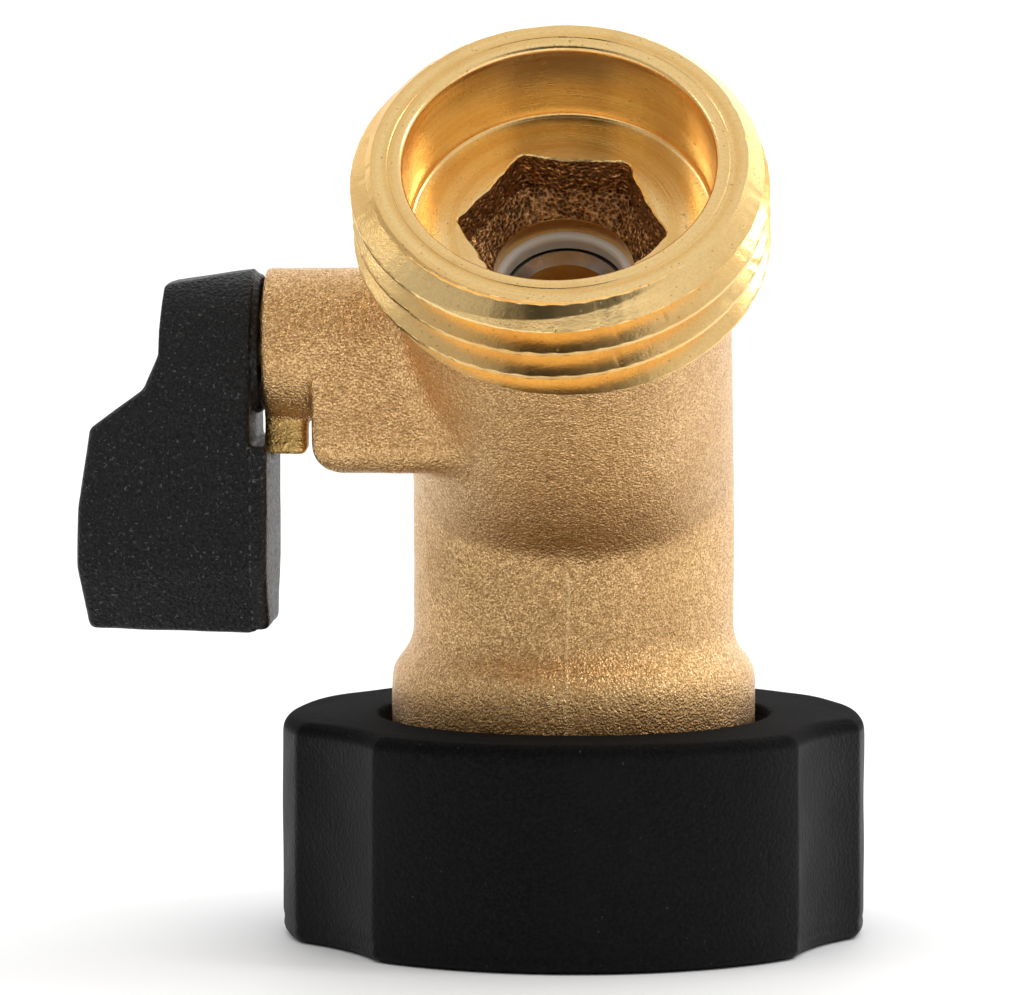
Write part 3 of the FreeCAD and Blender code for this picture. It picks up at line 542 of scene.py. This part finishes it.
def connector_rows(rng, angle):
    """Rows of (radius, depth, is_cast) round the axis, all the way round the connector's section."""
    turn = angle / (2 * math.pi)
    zero = np.zeros_like(angle)
    rows = []

    def row(radius, depth, cast=False):
        rows.append((radius + zero, depth + zero, cast))

    row(8.3 * MM, THREAD_L)
    row(10.6 * MM, THREAD_L)
    row(thread_radius(angle, THREAD_L) - 0.06 * MM, THREAD_L)
    for depth in np.linspace(THREAD_L - 0.03 * MM, 0.0, 191):
        wear = lattice_noise(same_lattice(1), turn, zero + depth / THREAD_L, 170, 9)
        dent = lattice_noise(same_lattice(2), turn, zero + depth / THREAD_L, 75, 6)
        dent = np.maximum(dent - 0.62, 0.0)
        row(thread_radius(angle, zero + depth) - (0.012 * wear + 0.22 * dent) * MM, depth)
    for radius, depth in FACE_PROFILE:
        chatter = lattice_noise(same_lattice(3), turn, zero + radius / 14, 46, 40)
        row(radius * MM, depth * MM + 0.006 * MM * chatter)
    for depth in np.linspace(0.42 * MM, CUP_DEPTH - CUP_CORNER, 14):
        row(CUP_R - CUP_TAPER * depth / CUP_DEPTH, depth)
    for bend in np.linspace(0.15, 1.0, 5) * math.pi / 2:
        radius = CUP_R - CUP_TAPER - CUP_CORNER * (1 - math.cos(bend))
        row(radius, CUP_DEPTH - CUP_CORNER * (1 - math.sin(bend)))

    ragged = lattice_noise(rng, turn, zero, 64, 1) * 0.09 * MM
    ragged += lattice_noise(rng, turn, zero, 23, 1) * 0.10 * MM
    rim = socket_radius(angle) + ragged
    for part in np.linspace(0.12, 1.0, 9):
        row((CUP_R - 0.5 * MM) * (1 - part) + (rim + 0.10 * MM) * part, CUP_DEPTH)
    for part in np.linspace(0.0, 1.0, 26):
        rough = lattice_noise(rng, turn, zero + part, 150, 14) * 0.05 * MM
        depth = CUP_DEPTH + 0.09 * MM + part * (SOCKET_DEPTH - CUP_DEPTH - 0.12 * MM)
        row(rim - part * SOCKET_DRAFT + rough * min(1.0, part * 6), depth, True)
    for part in np.linspace(0.05, 1.0, 26):
        rough = lattice_noise(rng, turn, zero + part, 130, 14) * 0.07 * MM * min(1.0, 8 * (1 - part))
        slope = SOCKET_DEPTH + (THROAT_DEPTH - SOCKET_DEPTH) * max(0.0, part - 0.1) / 0.9
        row((rim - SOCKET_DRAFT) * (1 - part) + (THROAT_R + 0.03 * MM) * part, slope + rough, True)
    for depth in np.linspace(THROAT_DEPTH + 0.06 * MM, SEAT_DEPTH, 8):
        row(THROAT_R, depth)
    for radius, depth in SEAT_POCKET:
        row(radius * MM, depth * MM)
    return rows


def make_connector(machined, socket):
    rng = np.random.default_rng(7)
    angle = np.linspace(0, 2 * math.pi, 720, endpoint=False)
    rows = connector_rows(rng, angle)
    radius = np.array([row[0] for row in rows])[..., None]
    depth = np.array([row[1] for row in rows])[..., None]
    spoke = np.cos(angle)[:, None] * SIDE + np.sin(angle)[:, None] * UP
    mesh = closed_grid("hose_outlet", FACE - AXIS * depth + spoke[None] * radius)
    mesh.materials.append(machined)
    mesh.materials.append(socket)
    cast = np.repeat([int(row[2]) for row in rows], len(angle)).astype(np.int32)
    mesh.polygons.foreach_set("material_index", cast)
    finish_mesh(mesh, 32)
    piece_from_mesh("hose_outlet", mesh, "housing", "outlet_connector")


def make_ball(chrome, bare):
    """Plated ball whose waterway was bored after plating, so that it shows bare brass."""
    mesh = frame["nodes"]["ball"].data.copy()
    mesh.materials.clear()
    mesh.materials.append(chrome)
    mesh.materials.append(bare)
    bore_r = BALL_BORE_R + 0.05 * MM
    for face in mesh.polygons:
        off = np.array(face.center) - STEM
        face.material_index = int(np.linalg.norm(off - AXIS * (off @ AXIS)) < bore_r)
    piece_from_mesh("shut_off_ball", mesh, "ball_assembly", "ball")


# ---------------------------------------------------------------- cast body, lever and grip

def make_cast_body(material):
    mesh = remeshed("valve_body", 0.22 * MM)
    relax(mesh, np.where(along_leg(get_points(mesh)) > TURNED_FROM, 0.15, 1.0), 6)

    points = get_points(mesh)
    inner_side = (points[:, 1] < -2 * MM) & (points[:, 2] < ELBOW[2] + 2 * MM)
    outside = np.hypot(points[:, 0], points[:, 1]) > 9 * MM
    crease = bump_curve((points - ELBOW) @ CREASE_NORMAL, 2.4 * MM) * (inner_side & outside)

    leg_gap = np.abs(distance_to_line(points, ELBOW, AXIS) - CAST_R)
    trunk_gap = np.abs(np.hypot(points[:, 0], points[:, 1]) - CAST_R)
    wall_gap = np.where(along_leg(points) > 0, np.minimum(leg_gap, trunk_gap), trunk_gap)
    off_y = np.abs(points[:, 1] - STEM[1])
    off_z = np.maximum(points[:, 2] - STEM[2], 0) + np.maximum(WEB_BOTTOM - points[:, 2], 0)
    boss_gap = np.maximum(np.hypot(off_y, off_z) - 5 * MM, 0)
    branch = bump_curve(wall_gap, 1.5 * MM) * bump_curve(boss_gap, 1.6 * MM) * (points[:, 0] < -5 * MM)
    relax(mesh, np.clip(crease + branch, 0, 1), 110)

    rng = np.random.default_rng(11)
    points = get_points(mesh)
    cast_skin = (points[:, 2] > CAST_SKIN_BOTTOM) & (np.abs(along_leg(points)) < CAST_SKIN_OUT)
    push_along_normals(mesh, cast_skin * 0.022 * MM * wave_noise(rng, points, 2.6 * MM))
    dress(mesh, material, 70)
    piece_from_mesh("cast_elbow", mesh, "housing", "valve_body")


def make_lever(material):
    mesh = remeshed("lever_handle", 0.14 * MM)
    relax(mesh, np.ones(len(mesh.vertices)), 7)
    rng = np.random.default_rng(23)
    points = get_points(mesh)
    parting = bump_curve(points[:, 0] - HUB_INNER_X - 0.08 * MM, 0.10 * MM)
    ragged = 0.6 + 0.4 * wave_noise(rng, points, 1.3 * MM)
    below_hub = points[:, 2] < STEM[2] - HUB_R
    push_along_normals(mesh, parting * below_hub * np.clip(ragged, 0, 1.4) * 0.17 * MM)
    push_along_normals(mesh, 0.015 * MM * wave_noise(rng, points, 3.5 * MM))
    dress(mesh, material, 60)
    piece_from_mesh("shut_off_lever", mesh, "lever_assembly", "lever_handle")


def make_grip(material):
    mesh = remeshed("grip_sleeve", 0.22 * MM)
    relax(mesh, np.ones(len(mesh.vertices)), 3)
    rng = np.random.default_rng(31)
    points = get_points(mesh)
    outer = np.hypot(points[:, 0], points[:, 1]) > GRIP_FLUTE_R
    bead = bump_curve(points[:, 2] - GRIP_BEAD_Z, 0.3 * MM) * -0.07 * MM
    sag = 0.03 * MM * wave_noise(rng, points, 7 * MM)
    push_along_normals(mesh, outer * (bead + sag * (points[:, 2] > 1.5 * MM)))
    dress(mesh, material, 60)
    piece_from_mesh("rubber_grip", mesh, "grip_coupling", "grip_sleeve")


# ---------------------------------------------------------------- camera, lights and floor

CAMERA_DISTANCE = 427 * MM
CAMERA_HEIGHT = 66.1 * MM
CAMERA_AZIMUTH = math.radians(2.5)
CAMERA_PITCH = math.radians(4.89)
CAMERA_PAN = math.radians(0.563)
CAMERA_LENS = 222.3

FLOOR_LIGHT = 1.0
STUDIO_LIGHT = 0.84
SIDE_LIGHT = 0.8
BACK_LIGHT = 1.75
GAP_LIGHT = 0.14
LEFT_DIMMING = 0.66
LAMP_AIM = (0.0, -0.005, 0.03)


def make_camera():
    data = bpy.data.cameras.new("camera")
    data.lens = CAMERA_LENS
    data.clip_start = 0.01
    camera = bpy.data.objects.new("camera", data)
    bpy.context.scene.collection.objects.link(camera)
    camera.location = (CAMERA_DISTANCE * math.sin(CAMERA_AZIMUTH),
                       -CAMERA_DISTANCE * math.cos(CAMERA_AZIMUTH), CAMERA_HEIGHT)
    camera.rotation_euler = (math.pi / 2 - CAMERA_PITCH, 0.0, CAMERA_AZIMUTH + CAMERA_PAN)
    bpy.context.scene.camera = camera


def soft_lamp(name, place, size, power):
    data = bpy.data.lights.new(name, "AREA")
    data.size = size
    data.energy = power
    lamp = bpy.data.objects.new(name, data)
    bpy.context.scene.collection.objects.link(lamp)
    lamp.location = place
    lamp.rotation_euler = (Vector(LAMP_AIM) - Vector(place)).to_track_quat("-Z", "Y").to_euler()


def make_lights():
    """Two lamps above at the sides, and a broad overhead light for matt surfaces and the floor."""
    soft_lamp("right_lamp", place=(0.38, -0.06, 0.47), size=0.13, power=0.58)
    soft_lamp("left_lamp", place=(-0.36, -0.12, 0.48), size=0.13, power=0.20)
    data = bpy.data.lights.new("overhead", "SUN")
    data.energy = FLOOR_LIGHT
    data.angle = math.radians(100)
    light = bpy.data.objects.new("overhead", data)
    bpy.context.scene.collection.objects.link(light)
    light.visible_glossy = False


def make_world():
    """White studio: pale overhead, brighter behind, dimmer on the left, a dark gap in front at the middle."""
    world = bpy.data.worlds.new("studio")
    world.use_nodes = True
    nodes = Nodes(world.node_tree)
    x, y, z = nodes.split(nodes.add("ShaderNodeTexCoord").outputs["Generated"])
    away = nodes.math("MAXIMUM", nodes.math("ABSOLUTE", y), 0.001)
    sideways = nodes.math("DIVIDE", nodes.math("ABSOLUTE", x), away)
    in_front = nodes.span(y, -0.05, 0.05, 1.0, 0.0)
    low = nodes.span(z, 0.62, 0.78, 1.0, 0.0)
    gap = nodes.math("MULTIPLY", nodes.span(sideways, 0.42, 0.48, 1.0, 0.0), in_front)
    gap = nodes.math("MULTIPLY", gap, low)
    around = nodes.math("ADD", SIDE_LIGHT, nodes.span(y, 0.10, 0.50, 0.0, BACK_LIGHT - SIDE_LIGHT))
    around = nodes.math("MULTIPLY", around, nodes.span(x, -0.3, 0.3, LEFT_DIMMING, 1.0))
    around = nodes.math("ADD", around, nodes.math("MULTIPLY", gap, GAP_LIGHT - SIDE_LIGHT))
    level = nodes.math("MULTIPLY_ADD", low, nodes.math("SUBTRACT", around, STUDIO_LIGHT), STUDIO_LIGHT)
    seen = nodes.add("ShaderNodeLightPath").outputs["Is Camera Ray"]
    level = nodes.math("MAXIMUM", level, seen)
    background = world.node_tree.nodes["Background"]
    nodes.feed(background, "Color", colour(1.0, 1.0, 1.0))
    nodes.feed(background, "Strength", level)
    bpy.context.scene.world = world


def make_floor():
    mesh = bpy.data.meshes.new("floor")
    half = 3.0
    corners = [(-half, -half, 0), (half, -half, 0), (half, half, 0), (-half, half, 0)]
    mesh.from_pydata(corners, [], [(0, 1, 2, 3)])
    floor = bpy.data.objects.new("floor", mesh)
    bpy.context.scene.collection.objects.link(floor)
    m = Material("floor", Roughness=0.6, Specular_IOR_Level=0.3)
    m.use(Base_Color=colour(0.93, 0.93, 0.93))
    mesh.materials.append(m.data)


def paint(material, *nodes):
    """Gives CAD nodes their final material."""
    for node in nodes:
        slots = frame["nodes"][node].material_slots
        for one in slots:
            one.material = material


def make_pieces():
    machined = machined_brass_material("machined_brass", True)
    turned = machined_brass_material("turned_brass", False)
    seal = rubber_material("seal_rubber", 0.01 * MM)
    make_connector(machined, socket_brass_material())
    chrome = metal_material("chrome", colour(0.50, 0.50, 0.52), colour(0.74, 0.74, 0.75), 0.16, 0.32, 400)
    bored = metal_material("bored_brass", colour(0.90, 0.50, 0.12), colour(0.98, 0.66, 0.22), 0.35, 0.5, 600,
                           metallic=0.5)
    make_ball(chrome, bored)
    make_cast_body(cast_brass_material())
    make_lever(black_plastic_material())
    make_grip(rubber_material("grip_rubber", 0.07 * MM))
    paint(turned, "swivel_nut", "stem", "stem_gland")
    paint(seal, "connector_o_ring", "seat_backing_ring", "stem_inner_o_ring", "stem_outer_o_ring",
          "hose_washer")
    paint(ptfe_material(), "outlet_seat", "inlet_seat", "stem_thrust_washer")
    paint(metal_material("steel", colour(0.35, 0.35, 0.36), colour(0.62, 0.62, 0.62), 0.25, 0.45, 500),
          "handle_screw", "retaining_ring")


bpy.context.scene.view_settings.view_transform = "Standard"
make_camera()
make_world()
make_lights()
make_floor()
make_pieces()
